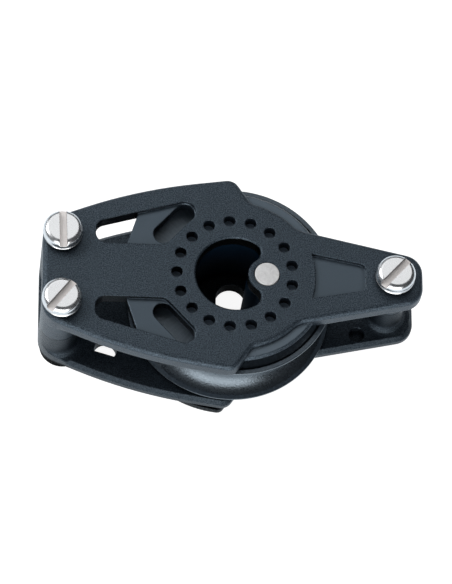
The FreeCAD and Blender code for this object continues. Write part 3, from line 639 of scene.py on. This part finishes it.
def balls():
    pale = smooth_plastic("ball_plastic", BALL_COLOUR, roughness=0.25, grain_scale=1800.0,
                          grain_strength=0.05, index=1.48)
    for name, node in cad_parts.items():
        if name.startswith("ball_"):
            paint(node, pale)
            smooth_faces(node)
            weld(node)
            smooth = node.modifiers.new("round", "SUBSURF")
            smooth.levels = smooth.render_levels = 2


# Pieces that are turned anew

def groove_points():
    """Half an oval from the upper rim to the lower, without its ends, which the rims' edges take up."""
    half = SHEAVE_HALF_WIDTH - RIM_THICKNESS
    depth = SHEAVE_RADIUS - GROOVE_FLOOR_RADIUS
    points = []
    for step in range(GROOVE_STEPS_LEFT_OUT, GROOVE_STEPS - GROOVE_STEPS_LEFT_OUT + 1):
        angle = math.pi * (0.5 - step / GROOVE_STEPS)
        points.append(Vector((SHEAVE_RADIUS - depth * math.cos(angle), half * math.sin(angle))))
    return points


def sheave():
    """Fine turned mesh of the sheave: oval groove, thin rims with soft edges, dished sides."""
    half = SHEAVE_HALF_WIDTH
    dish_outer = SHEAVE_RADIUS - SIDE_RIM
    dish_inner = BEARING_RADIUS + SIDE_RIM
    groove = groove_points()
    corners = [
        (BEARING_RADIUS, 0.0, 0),
        (BEARING_RADIUS, half, SHEAVE_EDGE),
        (dish_inner - SIDE_DISH, half, SHEAVE_EDGE),
        (dish_inner, half - SIDE_DISH, SHEAVE_EDGE),
        (dish_outer - SIDE_DISH, half - SIDE_DISH, SHEAVE_EDGE * 2),
        (dish_outer, half, SHEAVE_EDGE),
        (SHEAVE_RADIUS, half, SHEAVE_EDGE * 1.5),
        (SHEAVE_RADIUS, half - RIM_THICKNESS, SHEAVE_EDGE * 0.6),
        (*groove[0], 0),
    ]
    upper = rounded_profile(corners)[1:]
    lower = [Vector((point.x, -point.y)) for point in reversed(upper)]
    profile = [Vector((point.x, point.y + SHEAVE_MIDDLE)) for point in upper + groove[1:-1] + lower]
    piece = lathe("sheave_turned", profile, SHEAVE_SEGMENTS, closed=True)
    split_sharp(piece, TURNED_EDGE_ANGLE)
    paint(piece, sheave_plastic())
    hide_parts("sheave")
    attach(piece, "sheave")


def head_profile():
    """Pan head from its seat up: short side, dome and flat top."""
    rise = HEAD_HEIGHT - HEAD_SIDE
    run = HEAD_RADIUS - HEAD_FLAT_RADIUS
    bulge = (rise ** 2 + run ** 2) / (2 * run)
    sweep = math.asin(min(1.0, rise / bulge))
    profile = [Vector((0.0, 0.0)), Vector((HEAD_RADIUS - HEAD_EDGE, 0.0)), Vector((HEAD_RADIUS, HEAD_EDGE))]
    for step in range(DOME_STEPS + 1):
        angle = sweep * step / DOME_STEPS
        radius = HEAD_RADIUS - bulge * (1 - math.cos(angle))
        profile.append(Vector((radius, HEAD_SIDE + bulge * math.sin(angle))))
    profile.append(Vector((HEAD_FLAT_RADIUS - HEAD_TOP_EDGE, HEAD_HEIGHT)))
    profile.append(Vector((0.0, HEAD_HEIGHT)))
    return profile


def cut_slot(head):
    """Cut the screwdriver slot across a head, along its own X axis."""
    build = bmesh.new()
    bmesh.ops.create_cube(build, size=1.0)
    bmesh.ops.scale(build, vec=(3 * HEAD_RADIUS, SLOT_WIDTH, 2 * SLOT_DEPTH), verts=build.verts)
    bmesh.ops.translate(build, vec=(0, 0, HEAD_HEIGHT), verts=build.verts)
    cutter = add_mesh("slot_cutter", build)
    cut = head.modifiers.new("slot", "BOOLEAN")
    cut.operation = "DIFFERENCE"
    cut.solver = "EXACT"
    cut.object = cutter
    bpy.context.view_layer.update()
    graph = bpy.context.evaluated_depsgraph_get()
    made = bpy.data.meshes.new_from_object(head.evaluated_get(graph))
    head.modifiers.clear()
    head.data = made
    bpy.data.objects.remove(cutter)


def sort_slot_faces(head):
    """Second material for the slot's floor, third for its walls, first for the rest."""
    floor_height = HEAD_HEIGHT - SLOT_DEPTH
    for polygon in head.data.polygons:
        on_floor = abs(polygon.center.z - floor_height) < TOUCHING
        upright = abs(abs(polygon.normal.y) - 1) < 1e-3
        on_wall = upright and abs(abs(polygon.center.y) - SLOT_WIDTH / 2) < TOUCHING
        polygon.material_index = 1 if on_floor else 2 if on_wall else 0


def screw(node, steel, slot_floor, slot_wall):
    """Pan-head screw: domed head with a screwdriver slot, plain shank and a cut thread at its end."""
    low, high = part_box(node)
    centre = (low + high) / 2
    head = lathe(node + "_head", head_profile(), TURNED_SEGMENTS)
    cut_slot(head)
    paint(head, steel, slot_floor, slot_wall)
    sort_slot_faces(head)
    smooth_faces(head)
    round_edges(head, HEAD_BEVEL, HEAD_EDGE_ANGLE)
    head.data.transform(Matrix.Rotation(math.radians(SLOT_ANGLES[node]), 4, "Z"))
    head.location = (centre.x, centre.y, HEAD_SEAT)
    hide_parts(node)
    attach(head, "frame")

    shank = threaded_shank(node + "_shank", HEAD_SEAT - low.z)
    shank.location = (centre.x, centre.y, low.z)
    paint(shank, steel)
    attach(shank, "frame")


def threaded_shank(name, length):
    """Shank from its tip up to the head, with a helical thread over its lower end."""
    build = bmesh.new()
    rows = int(length / (THREAD_PITCH / THREAD_ROWS))
    rings = []
    for row in range(rows + 1):
        height = length * row / rows
        taper = max(0.0, SHANK_TAPER - height)
        radii = []
        for index in range(SHANK_SEGMENTS):
            phase = (height / THREAD_PITCH - index / SHANK_SEGMENTS) % 1.0
            depth = THREAD_DEPTH * abs(2 * phase - 1) if height <= THREAD_LENGTH else 0.0
            radii.append(max(SHANK_RADIUS - depth - taper, SHANK_TIP_RADIUS))
        rings.append(ring(build, height, radii))
    for first, second in zip(rings, rings[1:]):
        skin(build, first, second)
    build.faces.new(list(reversed(rings[0])))
    build.faces.new(rings[-1])
    piece = add_mesh(name, build)
    split_sharp(piece, THREAD_EDGE_ANGLE)
    return piece


def screws():
    steel = turned_steel("stainless", STEEL_COLOUR, roughness=0.26)
    slot_floor = cast_grey("slot_floor", SLOT_FLOOR_COLOUR, metallic=0.5, roughness=0.5, mottle=0.06)
    slot_wall = cast_grey("slot_wall", SLOT_WALL_COLOUR, metallic=0.8, roughness=0.4, mottle=0.10)
    for node in SLOT_ANGLES:
        screw(node, steel, slot_floor, slot_wall)


def rivet():
    """Rivet with a round head at each end."""
    low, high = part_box("rivet")
    centre = (low + high) / 2
    radius = (high.x - low.x) / 2
    lower_head = low.z + RIVET_HEAD_HEIGHT
    upper_head = high.z - RIVET_HEAD_HEIGHT
    corners = [
        (0.0, low.z, 0),
        (radius, low.z, RIVET_EDGE),
        (radius, lower_head, 0),
        (RIVET_SHANK_RADIUS, lower_head, 0),
        (RIVET_SHANK_RADIUS, upper_head, 0),
        (radius, upper_head, 0),
        (radius, high.z, RIVET_EDGE),
        (0.0, high.z, 0),
    ]
    piece = lathe("rivet_turned", rounded_profile(corners), TURNED_SEGMENTS)
    split_sharp(piece, TURNED_EDGE_ANGLE)
    piece.location = (centre.x, centre.y, 0)
    paint(piece, cast_grey("rivet_metal", RIVET_COLOUR, metallic=0.35, roughness=0.55, mottle=0.12))
    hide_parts("rivet")
    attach(piece, "frame")


# Stage

def lit_white(name, tone, glow, gloss_glow):
    """White that takes the object's shadow; the camera, reflections and glass see it brighter."""
    material = bpy.data.materials.new(name)
    material.use_nodes = True
    nodes, links = material.node_tree.nodes, material.node_tree.links
    nodes.clear()
    output = nodes.new("ShaderNodeOutputMaterial")
    diffuse = nodes.new("ShaderNodeBsdfDiffuse")
    diffuse.inputs["Color"].default_value = (tone, tone, tone, 1.0)
    path = nodes.new("ShaderNodeLightPath")
    ground = diffuse.outputs["BSDF"]
    white = (1.0, 1.0, 1.0)
    glows = (("Is Camera Ray", glow, white), ("Is Glossy Ray", gloss_glow, GLOW_TINT),
             ("Is Transmission Ray", glow, white))
    for kind, strength, colour in glows:
        emission = nodes.new("ShaderNodeEmission")
        emission.inputs["Color"].default_value = (*colour, 1.0)
        emission.inputs["Strength"].default_value = strength
        added = nodes.new("ShaderNodeAddShader")
        links.new(ground, added.inputs[0])
        links.new(emission.outputs["Emission"], added.inputs[1])
        chosen = nodes.new("ShaderNodeMixShader")
        links.new(path.outputs[kind], chosen.inputs["Fac"])
        links.new(ground, chosen.inputs[1])
        links.new(added.outputs["Shader"], chosen.inputs[2])
        ground = chosen.outputs["Shader"]
    links.new(ground, output.inputs["Surface"])
    return material


def floor():
    """Wide pale floor, just under the feet."""
    corners = [(-FLOOR_HALF, -FLOOR_HALF), (FLOOR_HALF, -FLOOR_HALF),
               (FLOOR_HALF, FLOOR_HALF), (-FLOOR_HALF, FLOOR_HALF)]
    mesh = bpy.data.meshes.new("floor")
    mesh.from_pydata([(x, y, DECK_SIDE - FLOOR_DROP) for x, y in corners], [], [(0, 1, 2, 3)])
    piece = add_object("floor", mesh)
    paint(piece, lit_white("floor_white", FLOOR_TONE, FLOOR_GLOW, FLOOR_GLOSS_GLOW))


def softbox(name, place, size, power):
    """Lamp with a wide face, turned to the object."""
    light = bpy.data.lights.new(name, "AREA")
    light.shape = "RECTANGLE"
    light.size, light.size_y = size
    light.energy = power
    piece = add_object(name, light)
    piece.location = place
    piece.rotation_euler = (LIGHT_AIM - Vector(place)).to_track_quat("-Z", "Y").to_euler()


def lights():
    softbox("key", place=(-0.48, 0.22, 0.48), size=(0.35, 0.35), power=2.2)
    softbox("overhead", place=(0.02, 0.42, 0.64), size=(0.80, 0.50), power=1.36)
    softbox("front", place=(-0.06, -0.60, 0.24), size=(0.80, 0.44), power=4.2)


def tent():
    """World that is brightest to the left and fades out towards the right and the front."""
    world = bpy.data.worlds.new("studio")
    bpy.context.scene.world = world
    world.use_nodes = True
    nodes, links = world.node_tree.nodes, world.node_tree.links
    background = nodes["Background"]
    background.inputs["Color"].default_value = (*TENT_TINT, 1.0)
    toward = nodes.new("ShaderNodeTexCoord")
    along = nodes.new("ShaderNodeVectorMath")
    along.operation = "DOT_PRODUCT"
    along.inputs[1].default_value = TENT_SIDE
    links.new(toward.outputs["Generated"], along.inputs[0])
    level = nodes.new("ShaderNodeMapRange")
    level.inputs["From Min"].default_value, level.inputs["From Max"].default_value = TENT_REACH
    level.inputs["To Min"].default_value, level.inputs["To Max"].default_value = TENT_STRENGTH
    links.new(along.outputs["Value"], level.inputs["Value"])
    links.new(level.outputs["Result"], background.inputs["Strength"])


def camera():
    """Pinhole that matches the photograph."""
    data = bpy.data.cameras.new("camera")
    data.sensor_width = CAMERA_SENSOR
    data.lens = CAMERA_LENS
    data.clip_start, data.clip_end = CAMERA_CLIP
    piece = add_object("camera", data)
    place = Vector(CAMERA_PLACE) * MM + Vector((0, 0, FACE))
    turn = Matrix((Vector(CAMERA_RIGHT), -Vector(CAMERA_DOWN), -Vector(CAMERA_FORWARD))).transposed()
    piece.matrix_world = Matrix.Translation(place) @ turn.to_4x4()
    bpy.context.scene.camera = piece


camera()
floor()
lights()
tent()
plates()
hub()
balls()
sheave()
screws()
rivet()

bpy.context.scene.view_settings.view_transform = "Standard"
